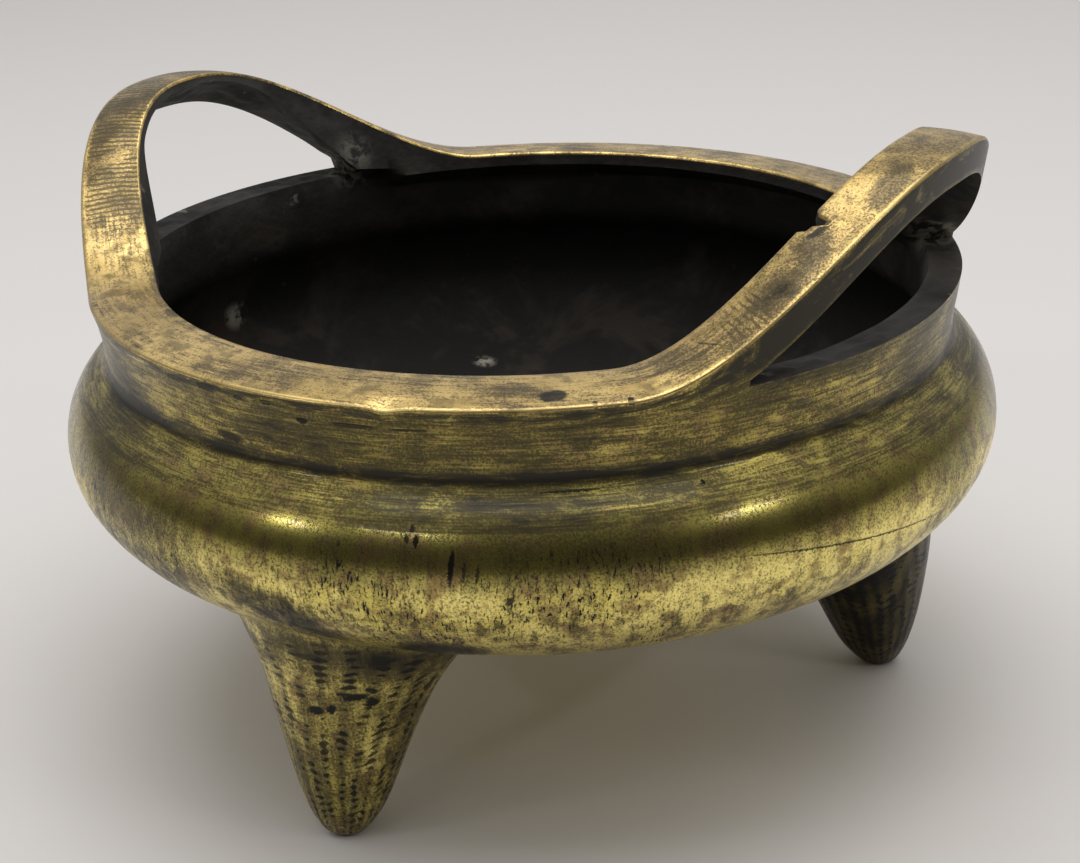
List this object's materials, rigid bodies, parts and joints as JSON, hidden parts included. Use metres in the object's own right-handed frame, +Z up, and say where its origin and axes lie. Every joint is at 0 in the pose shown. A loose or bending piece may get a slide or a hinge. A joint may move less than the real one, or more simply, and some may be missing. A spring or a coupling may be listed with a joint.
{
  "type": "tripod censer",
  "caption": "Round hollow bronze censer with a waisted neck, a broad flat lip that rises into arched loop handles, and tapering feet.",
  "frame": {"origin": "middle of the overall box, on the ground the feet stand on; the bowl's own axis is 3.45 mm towards +X", "axes": "+Z up, -Y towards the front foot, +X towards the chipped right handle"},
  "size_m": [0.2269, 0.22, 0.1476],
  "materials": {
    "bronze": "worn, hand-filed and patinated brass-coloured bronze"
  },
  "bodies": {
    "root": {"censer": "bronze"}
  },
  "joints": []
}
